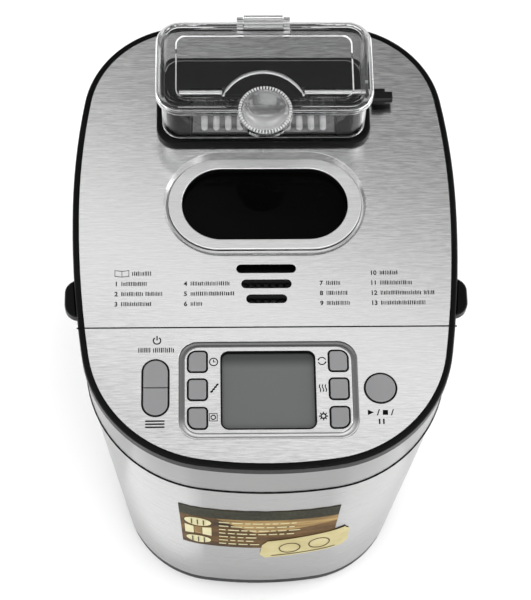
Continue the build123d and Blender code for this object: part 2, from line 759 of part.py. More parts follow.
def chute_hole(grow, low, high):
    return block(-CHUTE_X - grow, CHUTE_X + grow, CHUTE_Y[0] - grow, CHUTE_Y[1] + grow, low, high)


def lid_plate():
    sheet = prism(oval(0.0), TOP_Z - SHEET, TOP_Z) & behind(SEAM_Y + SEAM_GAP)
    sheet = sheet + dish_lip() - dish()
    sheet -= chute_hole(3.0, TOP_Z - 3, TOP_Z + 1)
    for y, length in SLOTS:
        sheet -= stadium((length, SLOT_HEIGHT), y, TOP_Z - 3, TOP_Z + 1)
    return sheet


def lid_frame():
    """Black moulding: outer rim, deck under the steel and the two hinge barrels."""
    rim = rim_ring(LID_RIM_BOTTOM)
    web = prism(oval(RIM_GAP + 0.1), WEB_BOTTOM, WEB_TOP)
    web -= prism(slot_at(RECESS, 1.0, 0), WEB_BOTTOM - 1, WEB_TOP + 1)
    web += stadium(LEDGE, WINDOW_Y, 287.4, 289.9)
    web += prism(slot_at(BEZEL_EYE, 6.0, 0), 287.4, RING_Z[0])
    web -= prism(slot_at(BEZEL_EYE, 0.4, 0), 280, 300)
    web -= chute_hole(3.0, WEB_BOTTOM - 1, WEB_TOP + 1)
    web -= slab(-22, 22, -72, -41, WEB_BOTTOM - 1, WEB_TOP + 1, 4)
    frame = (rim + web) & behind(SEAM_Y + SEAM_GAP)
    frame += prism(oval(RIM_GAP + 0.1), LID_RIM_BOTTOM, WEB_BOTTOM) & block(
        -200, 200, SEAM_Y + SEAM_GAP, SEAM_Y + 2.6, 0, 300)
    arm_bottom = LID_RIM_BOTTOM + 0.2
    arm_side = make_face(Polyline(
        (128, arm_bottom), (HINGE_Y - HINGE_R, arm_bottom), (HINGE_Y - HINGE_R, HINGE_Z),
        (HINGE_Y + HINGE_R, HINGE_Z), (HINGE_Y + 2.4, HINGE_Z + 4), (137.6, 288.5), (128, 288.5), close=True))
    for side in (-1, 1):
        x = side * HINGE_X
        arm = Pos(x - HINGE_HALF, 0, 0) * extrude(Plane.YZ * arm_side, amount=2 * HINGE_HALF)
        arm += rod_x(HINGE_Y, HINGE_Z, HINGE_R, x - HINGE_HALF, x + HINGE_HALF)
        arm -= rod_x(HINGE_Y, HINGE_Z, HINGE_PIN_R + RUN_FIT, x - 20, x + 20)
        frame += arm
    return frame


def lid_grip(side):
    """Finger grip, a rounded half-oval that stands out under the lid's rim at one side."""
    outline = make_face(Polyline((100, -77.8), (126.8, -77.8), (126.8, -52), (100, -52), close=True))
    grip = prism(outline, 285.0, 291.6)
    grip = fillet(grip.edges().filter_by(Axis.Z).sort_by(Axis.X)[-2:], 9.0)
    grip = grip - prism(oval(RIM_GROW), 270, 300)
    grip = chamfer(flat_edges(grip, 291.6), 0.8)
    return grip if side > 0 else mirror(grip, about=Plane.YZ)


def window_bezel():
    """Flat steel ring over the dish, open over the glass."""
    ring = stadium(RING, WINDOW_Y, *RING_Z) - stadium(BEZEL_EYE, WINDOW_Y, 280, 300)
    return chamfer(flat_edges(ring, RING_Z[1]), 0.3)


def window_glass():
    return stadium(GLASS, WINDOW_Y, 283.6, 287.2)


def vent_grille():
    grille = slab(-24, 24, -74, -39, 284.6, 285.8, 3)
    for row in range(4):
        for column in range(-4, 5):
            grille -= rod_z(column * 4.6, -65 + row * 5.6, 1.6, 280, 300)
    return grille


def lid_liner():
    """Inner metal cover: a shallow tray hung under the lid."""
    tray = slab(-97, 97, -78, 93, 282.3, 288.9, 24)
    tray = fillet(flat_edges(tray, 282.3), 2.0)
    tray -= slab(-95.8, 95.8, -76.8, 91.8, 283.5, 290, 22.8)
    tray -= stadium((104, 48), WINDOW_Y, 280, 290)
    tray -= chute_hole(4.0, 280, 290)
    for row in range(3):
        for column in range(-3, 4):
            tray -= rod_z(column * 8.0, -64 + row * 9.0, 2.2, 280, 290)
    return tray


def lid_seal():
    outer = slab(-101.4, 101.4, -82.4, 97.4, 281.9, 288.9, 28)
    return outer - slab(-97.4, 97.4, -78.4, 93.4, 281, 290, 24.4)


def flap_solenoid():
    return block(-88, -58, 62, 84, 283.7, 288.8) + rod_x(73, 286.2, 2.0, -58, -52)


def dispenser_frame():
    """Black bezel on the lid with the bin's floor and the chute down into the oven."""
    frame = slab(-BEZEL_X, BEZEL_X, *BEZEL_Y, TOP_Z + 0.05, BEZEL_TOP, 13)
    frame = fillet(flat_edges(frame, BEZEL_TOP), 1.6)
    inset = BIN_WALL + 0.3
    frame += slab(-BIN_X + inset, BIN_X - inset, BIN_Y[0] + inset, BIN_Y[1] - inset,
                  BEZEL_TOP - 1, BEZEL_TOP + 1.2, 10)
    frame += chute_hole(CHUTE_WALL, 283.0, BEZEL_TOP)
    frame -= chute_hole(0, 280, BEZEL_TOP + 2)
    boss_y, boss_r, boss_top = BOSS
    stem = rod_z(0, boss_y, boss_r, BEZEL_TOP, BOSS_UNDER + 0.5) & behind(CHUTE_Y[1] + 1.2)
    hood = rod_z(0, boss_y, boss_r, BOSS_UNDER, boss_top) & behind(BOSS_FRONT)
    frame += stem + fillet(flat_edges(hood, boss_top), 1.6)
    y, z = FLAP_AXIS
    frame += block(-60.0, -55.0, y - 3.5, y + 3.5, BEZEL_TOP, z + 3.2)
    return frame - rod_x(y, z, FLAP_PIN_R + RUN_FIT, -58.5, -50.0)


def dispenser_bin():
    """Clear walls of the bin, with two lugs behind for the cover's hinge."""
    walls = slab(-BIN_X, BIN_X, *BIN_Y, BEZEL_TOP + 0.05, BIN_TOP, 12)
    walls -= slab(-BIN_X + BIN_WALL, BIN_X - BIN_WALL, BIN_Y[0] + BIN_WALL, BIN_Y[1] - BIN_WALL,
                  BEZEL_TOP - 1, BIN_TOP + 1, 12 - BIN_WALL)
    y, z = COVER_HINGE
    rear = BIN_Y[1]
    for side in (-1, 1):
        low, high = sorted((side * COVER_LUG[0], side * COVER_LUG[1]))
        side_view = make_face(Polyline((rear - 1, z - 5.5), (y, z - COVER_LUG_R), (y, z),
                                       (rear + 3, z - 0.4), (rear - 1, z - 0.4), close=True))
        arm = Pos(low, 0, 0) * extrude(Plane.YZ * side_view, amount=high - low)
        walls += arm + rod_x(y, z, COVER_LUG_R, low, high)
    walls -= rod_x(y, z, 1.5, -30, 30)
    return walls - rod_x(*FLAP_AXIS, 2.3, 50, 80)


def cover_slab(inset, low, high, radius):
    """Block with the cover's plan, made smaller all round by inset."""
    return slab(-COVER_X + inset, COVER_X - inset, COVER_Y[0] + inset, COVER_Y[1] - inset, low, high, radius)


def dispenser_cover():
    """Clear hinged cover with a sunk middle, a thumb tab in front and its barrel behind."""
    cover = cover_slab(0, COVER_BOTTOM, COVER_TOP, 16)
    cover = fillet(flat_edges(cover, COVER_TOP), COVER_ROUND)
    wall = COVER_WALL
    hollow = cover_slab(wall, COVER_BOTTOM - 1, COVER_TOP - wall - COVER_SINK, 14)
    half, front, rear = COVER_PANEL
    sunk = slab(-half, half, front, rear, COVER_TOP - COVER_SINK, COVER_TOP + 1, 7)
    sunk = chamfer(flat_edges(sunk, COVER_TOP - COVER_SINK), 0.8)
    groove = cover_slab(COVER_GROOVE, COVER_TOP - 0.9, COVER_TOP + 1, 16 - COVER_GROOVE)
    groove -= cover_slab(COVER_GROOVE + 2.2, COVER_TOP - 2, COVER_TOP + 2, 16 - COVER_GROOVE - 2.2)
    cover -= sunk + groove
    tab = rod_z(0, TAB_Y, TAB_R, COVER_TOP - 5.0, COVER_TOP + 0.8)
    cover += fillet(flat_edges(tab, COVER_TOP + 0.8), 0.6)
    cover -= hollow
    y, z = COVER_HINGE
    cover += rod_x(y, z, 4.0, -COVER_BARREL_HALF, COVER_BARREL_HALF)
    cover += block(-COVER_BARREL_HALF, COVER_BARREL_HALF, COVER_Y[1] - 1, y, z - 2, z + 4)
    return cover - rod_x(y, z, 1.5 + RUN_FIT, -30, 30)


def dispenser_pin():
    return rod_x(*COVER_HINGE, 1.5, -COVER_LUG[1], COVER_LUG[1])


def dispenser_flap():
    """Trap door of the bin: ribbed plate that hangs from its shaft."""
    y, z = FLAP_AXIS
    flap = block(-FLAP_X, FLAP_X, FLAP_FRONT, y - 2.0, 299.0, 301.0)
    flap += block(-FLAP_BARREL, FLAP_BARREL, FLAP_FRONT, y, 299.0, 301.0)
    flap += rod_x(y, z, 3.3, -FLAP_BARREL, FLAP_BARREL)
    start = FLAP_FRONT + 3.0
    for index in range(-5, 6):
        x = index * RIB_PITCH
        flap += rod_y(x, 301.0, RIB_R, start, y - 5.0)
        flap += Pos(x, start, 301.0) * Sphere(RIB_R)
    flap -= block(-FLAP_X - 1, FLAP_X + 1, 40, y - 3.4, 290, 299.0)
    return flap - rod_x(y, z, FLAP_PIN_R, -60, 60)


def flap_shaft():
    return rod_x(*FLAP_AXIS, FLAP_PIN_R, -58.0, 76)


def flap_lever():
    """Lever on the outer end of the flap's shaft."""
    y, z = FLAP_AXIS
    lever = block(71.5, 79.6, y - 6.8, y + 2.4, z - 4.1, z + 2.7)
    lever = chamfer(lever.edges().filter_by(Axis.X), 1.2)
    knob = block(79.0, 84.6, y - 6.0, y + 0.6, z - 3.4, z + 1.6)
    knob = chamfer(knob.edges().filter_by(Axis.X), 1.0)
    return lever + knob - rod_x(y, z, FLAP_PIN_R, 60, 76)


# ---------- saving ----------

def save(name, shape):
    """Writes one node; a list of solids becomes one compound."""
    if isinstance(shape, list):
        solids = [solid for part in shape for solid in part.solids()]
        shape = Compound(children=solids)
    export_step(Pos(0, ORIGIN_SHIFT, 0) * shape, f"parts/{name}.step")


def main():
    os.makedirs("parts", exist_ok=True)
    plain = [base_pan, rubber_feet, body_shell, cord_inlet, upper_band, hinge_brackets, hinge_pins,
             control_housing, control_panel, lcd_window, lcd_module, control_board,
             top_deck, oven_chamber, heating_element, element_clips, temperature_sensor,
             pan_seat, bearing_housing, chamber_posts, base_screws, motor, motor_bracket,
             motor_shaft, drive_shaft, drive_dog, drive_belt, power_board,
             bread_pan, pan_foot, pan_handle, pan_shaft, kneading_paddle,
             lid_plate, lid_frame, window_bezel, window_glass, vent_grille, lid_liner,
             lid_seal, flap_solenoid, dispenser_frame, dispenser_bin, dispenser_cover,
             dispenser_pin, dispenser_flap, flap_shaft, flap_lever]
    for make in plain:
        save(make.__name__, make())
    for name, part in {**small_buttons(), **pill_buttons()}.items():
        save(name, part)
    save("button_start", start_button())
    save("lid_grips", [lid_grip(-1), lid_grip(1)])
    save("drive_pulley", flanged_pulley(OVEN_Y, BIG_PULLEY_R, 6))
    save("motor_pulley", flanged_pulley(MOTOR_Y, SMALL_PULLEY_R, 0))


if __name__ == "__main__":
    main()
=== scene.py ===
import json
import math
import random

import bmesh
import bpy
from mathutils import Matrix, Vector


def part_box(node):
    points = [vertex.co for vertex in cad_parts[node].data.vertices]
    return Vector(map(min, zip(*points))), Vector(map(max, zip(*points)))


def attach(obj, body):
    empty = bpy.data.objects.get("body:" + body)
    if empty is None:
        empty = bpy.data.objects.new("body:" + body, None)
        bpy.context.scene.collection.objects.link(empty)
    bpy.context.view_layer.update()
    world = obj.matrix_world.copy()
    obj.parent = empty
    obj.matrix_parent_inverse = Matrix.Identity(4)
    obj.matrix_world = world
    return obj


MM = 0.001
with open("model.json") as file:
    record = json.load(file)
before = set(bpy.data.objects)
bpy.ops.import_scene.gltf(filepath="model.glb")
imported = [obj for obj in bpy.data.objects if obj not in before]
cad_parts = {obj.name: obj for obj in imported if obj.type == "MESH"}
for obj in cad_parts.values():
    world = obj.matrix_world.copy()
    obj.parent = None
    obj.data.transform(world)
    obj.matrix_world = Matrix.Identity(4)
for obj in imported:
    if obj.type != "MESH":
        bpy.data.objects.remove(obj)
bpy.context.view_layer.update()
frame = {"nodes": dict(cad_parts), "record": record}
NODES = frame["nodes"]
random.seed(7)

# ---------- places read from the frame ----------
LID_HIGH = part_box("lid_plate")[1]
TOP_Z = LID_HIGH.z
HALF_WIDTH = 119.0                     # steel top's plan, from its widest line, in millimetres
FRONT_REACH = 177.0
REAR_REACH = 135.0
OVAL_Y = LID_HIGH.y - REAR_REACH * MM  # widest line of the oval plan
SHELL_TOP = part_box("body_shell")[1].z
TAB_RADIUS = 17.4
TAPER = math.tan(math.radians(3.79))
SHELL_GROW = 2.4                       # the body's upper edge stands this far outside the steel top
SHEET_RADIUS = 280.0                   # mean radius of the front, for distances round the curve
FRONT_RADII = (700.0, 82.0, 289.0)     # side, corner and end arcs of the plan
REAR_RADII = (471.0, 65.0, 335.0)


# ---------- helpers ----------

def add_object(name, data):
    """New object in the scene."""
    thing = bpy.data.objects.new(name, data)
    bpy.context.scene.collection.objects.link(thing)
    return thing


def map_range(tree, value, start, stop, low, high, curve="SMOOTHSTEP"):
    """Output of a node that maps start..stop of a value onto low..high."""
    node = tree.nodes.new("ShaderNodeMapRange")
    node.interpolation_type = curve
    node.inputs["From Min"].default_value = start
    node.inputs["From Max"].default_value = stop
    node.inputs["To Min"].default_value = low
    node.inputs["To Max"].default_value = high
    tree.links.new(value, node.inputs["Value"])
    return node.outputs["Result"]


# ---------- materials ----------

SOFT_EDGE = 0.0003                     # rounding of edges in the shading, in metres


class Nodes:
    """Small helper round one material's node tree."""

    def __init__(self, name):
        self.mat = bpy.data.materials.new(name)
        self.mat.use_nodes = True
        self.tree = self.mat.node_tree
        self.bsdf = self.tree.nodes["Principled BSDF"]
        self.coord = None

    def add(self, kind, **settings):
        node = self.tree.nodes.new(kind)
        for key, value in settings.items():
            setattr(node, key, value)
        return node

    def link(self, out, into):
        self.tree.links.new(out, into)

    def set(self, **values):
        names = {"base": "Base Color", "metal": "Metallic", "ior": "IOR",
                 "clear": "Transmission Weight", "spec": "Specular IOR Level"}
        for key, value in values.items():
            if key == "base":
                value = (*value, 1.0)
            self.bsdf.inputs[names[key]].default_value = value

    def stretched(self, scale):
        """Object coordinates scaled per axis, in cells per metre."""
        if self.coord is None:
            self.coord = self.add("ShaderNodeTexCoord")
        mapping = self.add("ShaderNodeMapping")
        mapping.inputs["Scale"].default_value = scale
        self.link(self.coord.outputs["Object"], mapping.inputs["Vector"])
        return mapping.outputs["Vector"]

    def noise(self, scale, detail=3.0, rough=0.6):
        node = self.add("ShaderNodeTexNoise")
        node.inputs["Scale"].default_value = 1.0
        node.inputs["Detail"].default_value = detail
        node.inputs["Roughness"].default_value = rough
        self.link(self.stretched(scale), node.inputs["Vector"])
        return node.outputs["Fac"]

    def ramp(self, fac, low, high):
        """Maps the middle of a noise onto low..high."""
        return map_range(self.tree, fac, 0.3, 0.7, low, high, "LINEAR")

    def split(self):
        """Object coordinates, axis by axis."""
        node = self.add("ShaderNodeSeparateXYZ")
        self.link(self.coord.outputs["Object"], node.inputs["Vector"])
        return node.outputs

    def colour(self, fac, dark, light):
        node = self.add("ShaderNodeMix", data_type="RGBA")
        node.inputs["A"].default_value = (*dark, 1.0)
        node.inputs["B"].default_value = (*light, 1.0)
        self.link(self.ramp(fac, 0.0, 1.0), node.inputs["Factor"])
        self.link(node.outputs["Result"], self.bsdf.inputs["Base Color"])

    def rough(self, fac, low, high):
        self.link(self.ramp(fac, low, high), self.bsdf.inputs["Roughness"])

    def bump(self, height, strength, distance, soft_edge=0.0):
        node = self.add("ShaderNodeBump")
        node.inputs["Strength"].default_value = strength
        node.inputs["Distance"].default_value = distance
        self.link(height, node.inputs["Height"])
        if soft_edge:
            bevel = self.add("ShaderNodeBevel", samples=4)
            bevel.inputs["Radius"].default_value = soft_edge
            self.link(bevel.outputs["Normal"], node.inputs["Normal"])
        self.link(node.outputs["Normal"], self.bsdf.inputs["Normal"])


def brushed(name, tones, rough, scale, bump=0.12):
    """Metal with fine parallel scratches; scale is small along the brushing."""
    n = Nodes(name)
    n.set(metal=1.0)
    lines = n.noise(scale, detail=4.0, rough=0.7)
    n.colour(lines, (tones[0],) * 3, (tones[1],) * 3)
    n.rough(lines, *rough)
    n.bump(lines, bump, 0.00004, SOFT_EDGE)
    return n.mat


def plastic(name, dark, light, rough, bump=0.1, spec=0.5, soft_edge=SOFT_EDGE):
    """Moulded plastic with a fine grain and a slight variation in tone."""
    n = Nodes(name)
    n.set(spec=spec)
    n.colour(n.noise((18.0, 18.0, 18.0), detail=2.0), dark, light)
    fine = n.noise((2500.0, 2500.0, 2500.0), detail=2.0)
    n.rough(fine, *rough)
    n.bump(fine, bump, 0.00002, soft_edge)
    return n.mat


def clear_plastic(name):
    """Clear plastic that turns white where it is seen edge-on, as a painted highlight along its edges."""
    n = Nodes(name)
    n.set(base=(0.97, 0.975, 0.975), ior=1.49, spec=0.28)
    # less see-through and white at grazing view: painted highlight on the edges
    edge = n.add("ShaderNodeLayerWeight")
    edge.inputs["Blend"].default_value = 0.5
    clear = map_range(n.tree, edge.outputs["Facing"], 0.66, 0.96, 1.0, 0.30)
    n.link(clear, n.bsdf.inputs["Transmission Weight"])
    n.rough(n.noise((120.0, 120.0, 120.0), detail=2.0), 0.0, 0.02)
    n.bump(n.noise((70.0, 70.0, 70.0)), 0.10, 0.0005)
    return n.mat


def frosted_plastic(name):
    """Bright, slightly see-through plastic for the milled ring."""
    n = Nodes(name)
    n.set(clear=0.25, spec=0.6)
    n.colour(n.noise((900.0, 900.0, 900.0)), (0.80, 0.81, 0.81), (0.95, 0.95, 0.95))
    n.rough(n.noise((300.0, 300.0, 300.0)), 0.15, 0.35)
    n.bump(n.noise((700.0, 700.0, 700.0)), 0.1, 0.00005)
    return n.mat


def graded_tone_and_painted_shade(name, start, stop, first, second, rough, spec, low=None, metal=0.0):
    """Material whose tone changes from first to second between two depths (metres); on the display window and
    the trough this change is painted shade.

    Below the height low, when it is given, it is darker."""
    n = Nodes(name)
    n.set(spec=spec, metal=metal)
    grain = n.noise((1500.0, 1500.0, 1500.0), detail=2.0)
    axes = n.split()
    jitter = n.add("ShaderNodeMath", operation="ADD")
    n.link(n.ramp(grain, -0.03, 0.03), jitter.inputs[0])
    n.link(map_range(n.tree, axes["Y"], start, stop, 0.0, 1.0), jitter.inputs[1])
    mix = n.add("ShaderNodeMix", data_type="RGBA")
    mix.inputs["A"].default_value = (*first, 1.0)
    mix.inputs["B"].default_value = (*second, 1.0)
    n.link(jitter.outputs["Value"], mix.inputs["Factor"])
    tone = mix.outputs["Result"]
    if low is not None:
        height = map_range(n.tree, axes["Z"], low - 0.0004, low + 0.0006, 0.12, 1.0, "LINEAR")
        scale = n.add("ShaderNodeVectorMath", operation="SCALE")
        n.link(tone, scale.inputs["Vector"])
        n.link(height, scale.inputs["Scale"])
        tone = scale.outputs["Vector"]
    n.link(tone, n.bsdf.inputs["Base Color"])
    n.rough(grain, *rough)
    n.bump(grain, 0.04, 0.00002)
    return n.mat


def build_materials():
    """Material of each slot that the parts use."""
    along_x = (110.0, 1400.0, 1400.0)
    return {
        "brushed_steel": brushed("brushed_steel", (0.53, 0.77), (0.15, 0.23), along_x),
        "silver_paint": brushed("satin_silver", (0.244, 0.278), (0.22, 0.30), (9.0, 9.0, 1500.0), bump=0.04),
        "polished_steel": brushed("polished_steel", (0.66, 0.80), (0.30, 0.40), along_x, bump=0.10),
        "galvanised_steel": brushed("galvanised_steel", (0.45, 0.62), (0.3, 0.45), (60.0, 60.0, 60.0)),
        "cast_aluminium": brushed("cast_aluminium", (0.42, 0.56), (0.38, 0.5), (700.0, 700.0, 700.0),
                                  bump=0.3),
        "motor_steel": brushed("motor_steel", (0.20, 0.34), (0.35, 0.5), (40.0, 40.0, 2200.0)),
        "black_plastic": plastic("black_plastic", (0.0025, 0.0025, 0.0027), (0.0045, 0.0045, 0.0048),
                                 (0.22, 0.34), bump=0.06, spec=0.22),
        "rubber": plastic("rubber", (0.02, 0.02, 0.02), (0.035, 0.035, 0.035), (0.7, 0.85)),
        "grey_plastic": plastic("grey_plastic", (0.24, 0.24, 0.245), (0.27, 0.27, 0.275), (0.35, 0.48),
                                spec=0.35),
        "dark_glass": plastic("dark_glass", (0.0012, 0.0012, 0.0012), (0.002, 0.002, 0.002),
                              (0.02, 0.05), bump=0.0, spec=0.025, soft_edge=0.0),
        # painted shade: the display window is painted darker towards its rear edge, as the shadow of its
        # inset wall
        "lcd_glass": graded_tone_and_painted_shade("lcd_glass", OVAL_Y - 115.0 * MM, OVAL_Y - 106.0 * MM,
                              (0.125, 0.128, 0.128), (0.042, 0.044, 0.044), (0.14, 0.20), 0.25),
        "nonstick": plastic("nonstick", (0.022, 0.022, 0.024), (0.05, 0.05, 0.052), (0.35, 0.5)),
        "heater_metal": plastic("heater_metal", (0.06, 0.055, 0.05), (0.12, 0.11, 0.10), (0.4, 0.6)),
        "nylon": plastic("nylon", (0.60, 0.59, 0.55), (0.70, 0.69, 0.65), (0.4, 0.55)),
        "circuit_board": plastic("circuit_board", (0.02, 0.12, 0.05), (0.03, 0.16, 0.07), (0.3, 0.45)),
        "clear_plastic": clear_plastic("clear_plastic"),
    }


MATS = build_materials()
for part in frame["record"]["subparts"]:
    mesh = NODES[part["node"]].data
    mesh.materials.clear()
    mesh.materials.append(MATS[part["material_slot"]])
BASE_GREY = plastic("base_grey", (0.028, 0.028, 0.029), (0.036, 0.036, 0.037), (0.45, 0.55), spec=0.08)
NODES["base_pan"].data.materials[0] = BASE_GREY
RIM_BLACK = plastic("rim_black", (0.0022, 0.0022, 0.0024), (0.0038, 0.0038, 0.004), (0.25, 0.36),
                    bump=0.06, spec=0.07)
for name in ("lid_frame", "lid_grips", "control_housing", "dispenser_frame"):
    NODES[name].data.materials[0] = RIM_BLACK
FLAP_GREY = graded_tone_and_painted_shade("flap_grey", OVAL_Y + 57.0 * MM, OVAL_Y + 65.0 * MM,
                     (0.75, 0.75, 0.75), (0.006, 0.006, 0.006), (0.2, 0.35), 0.6, low=301.3 * MM)
NODES["dispenser_flap"].data.materials[0] = FLAP_GREY
BAND_SILVER = brushed("band_silver", (0.205, 0.235), (0.20, 0.28), (9.0, 9.0, 1500.0), bump=0.04)
NODES["upper_band"].data.materials[0] = BAND_SILVER
# painted light and shade: the trough's steel is light along its front and dark towards its rear, for the lit
# and shaded walls of the groove
TROUGH_PAINTED_SHADE = graded_tone_and_painted_shade("trough_steel_painted_shade", OVAL_Y - 158.0 * MM, OVAL_Y - 146.0 * MM,
                  (0.55, 0.55, 0.55), (0.16, 0.16, 0.16), (0.3, 0.4), 0.5, metal=1.0)
FROSTED = frosted_plastic("frosted_plastic")
INK = plastic("print_ink", (0.002, 0.002, 0.002), (0.004, 0.004, 0.004), (0.5, 0.65), spec=0.05,
              soft_edge=0.0)


# ---------- building meshes ----------

def place(x, y, z):
    """Point given from the widest line of the plan, in millimetres."""
    return Vector((x * MM, OVAL_Y + y * MM, z * MM))


def new_piece(name, mat, body, build, smooth=False):
    """Piece that rides on a body, with the mesh that build makes."""
    mesh = bpy.data.meshes.new(name)
    piece = add_object(name, mesh)
    mesh.materials.append(mat)
    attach(piece, body)
    bm = bmesh.new()
    build(bm)
    bmesh.ops.recalc_face_normals(bm, faces=bm.faces)
    for face in bm.faces:
        face.smooth = smooth
    bm.to_mesh(mesh)
    bm.free()


def bridge(bm, near, far):
    """Band of faces between two closed rows of points."""
    for i in range(len(near)):
        j = (i + 1) % len(near)
        bm.faces.new((near[i], near[j], far[j], far[i]))


def add_prism(bm, bottom, top):
    """Closed solid between two equal rows of points."""
    bm.faces.new(top)
    bm.faces.new(list(reversed(bottom)))
    bridge(bm, bottom, top)


def add_outline(bm, points, low, high):
    """Flat shape given by its outline (millimetres, local plan), as a thin plate."""
    bottom = [bm.verts.new(place(x, y, low)) for x, y in points]
    top = [bm.verts.new(place(x, y, high)) for x, y in points]
    add_prism(bm, bottom, top)


def add_stroke(bm, points, width, low, high, closed=False):
    """Line of even width through points, mitred at its corners."""
    count = len(points)
    left, right = [], []
    for i, (x, y) in enumerate(points):
        before = points[(i - 1) % count] if closed or i > 0 else points[i]
        after = points[(i + 1) % count] if closed or i < count - 1 else points[i]
        along = Vector((after[0] - before[0], after[1] - before[1])).normalized()
        across = Vector((-along.y, along.x)) * (width / 2)
        left.append((x + across.x, y + across.y))
        right.append((x - across.x, y - across.y))
    spans = count if closed else count - 1
    for i in range(spans):
        j = (i + 1) % count
        add_outline(bm, [left[i], left[j], right[j], right[i]], low, high)


def circle(x, y, radius, count=28, start=0.0, turn=360.0):
    """Points round a circle, or along an arc of it, with angles in degrees."""
    step = turn / (count if turn == 360.0 else count - 1)
    return [(x + radius * math.cos(math.radians(start + step * i)),
             y + radius * math.sin(math.radians(start + step * i))) for i in range(count)]


def pill(x, y, width, height, count=6):
    """Bar with round ends, starting at x and centred on y."""
    radius = height / 2
    ends = circle(x + width - radius, y, radius, count + 1, -90, 180)
    return ends + circle(x + radius, y, radius, count + 1, 90, 180)


# ---------- prints on the steel ----------

PRINT_Z = (TOP_Z / MM - 0.02, TOP_Z / MM + 0.05)


def digits(text, x, y, height):
    """Mesh of a number that lies on the steel, with a little thickness."""
    curve = bpy.data.curves.new("number", "FONT")
    curve.body = text
    curve.size = height * MM / 0.7
    curve.extrude = 0.03 * MM
    curve.offset = 0.12 * MM
    curve.resolution_u = 3
    letter = add_object("number", curve)
    letter.location = place(x, y, PRINT_Z[1] - 0.03)
    bpy.context.view_layer.update()
    mesh = bpy.data.meshes.new_from_object(letter)
    mesh.transform(letter.matrix_world)
    bpy.data.objects.remove(letter)
    return mesh


def marks(bm, x, y, lengths, height):
    """A printed line of small plain marks in place of words."""
    for length in lengths:
        stop = x + length
        while x < stop:
            width = random.uniform(0.42, 0.78)
            tall = height * random.choice((1.0, 1.0, 0.85))
            add_outline(bm, [(x, y - height / 2), (x + width, y - height / 2),
                             (x + width, y - height / 2 + tall), (x, y - height / 2 + tall)], *PRINT_Z)
            x += width + random.uniform(0.4, 0.7)
        x += 1.3


def menu_print():
    """Numbered list on the lid: four columns of numerals, each with plain marks."""
    columns = [(-95.5, [("1", (16.0,)), ("2", (13.0, 10.0)), ("3", (19.0,))]),
               (-52.0, [("4", (25.0,)), ("5", (27.0,)), ("6", (6.5,))]),
               (33.5, [("7", (8.5,)), ("8", (13.5,)), ("9", (14.0,))]),
               (65.5, [("11", (20.0,)), ("12", (25.0, 7.0)), ("13", (28.0,))])]
    rows = (-57.9, -64.9, -71.9)
    meshes = []
    bars = []
    for x, lines in columns:
        for y, (number, words) in zip(rows, lines):
            meshes.append(digits(number, x, y, 3.0))
            bars.append((x + 2.2 + 2.1 * len(number), y + 1.5, words))
    meshes.append(digits("10", 65.5, -50.9, 3.0))
    bars.append((71.9, -49.4, (10.5,)))

    def build(bm):
        for mesh in meshes:
            bm.from_mesh(mesh)
        for x, y, words in bars:
            marks(bm, x, y, words, 2.8)
        for side in (-1, 1):
            spine = -91.0
            page = [(spine, -51.6), (spine, -47.6), (spine + side * 4.4, -47.0), (spine + side * 4.4, -51.0)]
            add_stroke(bm, page, 0.55, *PRINT_Z, closed=True)
        marks(bm, -84.5, -49.2, (12.0,), 3.0)

    new_piece("menu_print", INK, "lid", build)


def panel_print():
    """Symbols beside the keys and plain dashes in place of the key names."""
    def build(bm):
        low, high = PRINT_Z
        # clock
        add_stroke(bm, circle(-33.6, -110.2, 2.5), 0.7, low, high, closed=True)
        add_stroke(bm, [(-33.6, -108.6), (-33.6, -110.2), (-32.4, -110.2)], 0.65, low, high)
        # slices
        for step in range(4):
            x = -35.4 + step * 1.15
            y = -131.0 + step * 1.5
            add_outline(bm, [(x, y), (x + 1.5, y + 0.9), (x + 1.0, y + 2.0), (x - 0.5, y + 1.1)], low, high)
        # loaf in a frame
        square = [(-36.4, -149.4), (-31.6, -149.4), (-31.6, -144.6), (-36.4, -144.6)]
        add_stroke(bm, square, 0.65, low, high, closed=True)
        add_stroke(bm, circle(-34.0, -147.0, 1.4, 16), 0.7, low, high, closed=True)
        # round arrows
        for start in (20, 200):
            add_stroke(bm, circle(33.5, -110.0, 2.4, 12, start, 140), 0.7, low, high)
            tip = circle(33.5, -110.0, 2.4, 2, start + 140, 20)
            add_outline(bm, circle(tip[0][0], tip[0][1], 0.75, 3, start + 230), low, high)
        # heat waves
        for step in range(3):
            wave = [(31.8 + step * 1.8 + 0.45 * math.sin(t * 1.05), -130.6 + t * 0.8) for t in range(7)]
            add_stroke(bm, wave, 0.65, low, high)
        # sun
        add_stroke(bm, circle(33.4, -146.7, 1.5, 20), 0.9, low, high, closed=True)
        for step in range(8):
            angle = math.radians(45 * step)
            inner = (33.4 + 2.0 * math.cos(angle), -146.7 + 2.0 * math.sin(angle))
            outer = (33.4 + 2.8 * math.cos(angle), -146.7 + 2.8 * math.sin(angle))
            add_stroke(bm, [inner, outer], 0.75, low, high)
        # on and off, above the long key
        add_stroke(bm, circle(-68.6, -95.6, 2.3, 20, 125, 290), 0.8, low, high)
        add_stroke(bm, [(-68.6, -95.4), (-68.6, -92.4)], 0.8, low, high)
        marks(bm, -80.2, -102.0, (7.5, 13.0), 3.2)
        # list symbol below the long key
        for step in range(3):
            add_outline(bm, pill(-75.6, -153.2 + step * 2.0, 12.0, 1.0), low, high)
        # start, stop and pause under the round key
        add_outline(bm, [(60.6, -142.7), (64.4, -144.5), (60.6, -146.3)], low, high)
        add_stroke(bm, [(66.4, -146.5), (67.8, -142.5)], 0.7, low, high)
        add_outline(bm, [(69.8, -143.0), (73.0, -143.0), (73.0, -146.2), (69.8, -146.2)], low, high)
        add_stroke(bm, [(75.0, -146.5), (76.4, -142.5)], 0.7, low, high)
        for x in (67.6, 70.2):
            add_stroke(bm, [(x, -148.8), (x, -152.2)], 1.0, low, high)

    new_piece("panel_print", INK, "housing", build)


# ---------- sticker on the front of the body ----------

PAPER_THICK = 0.12


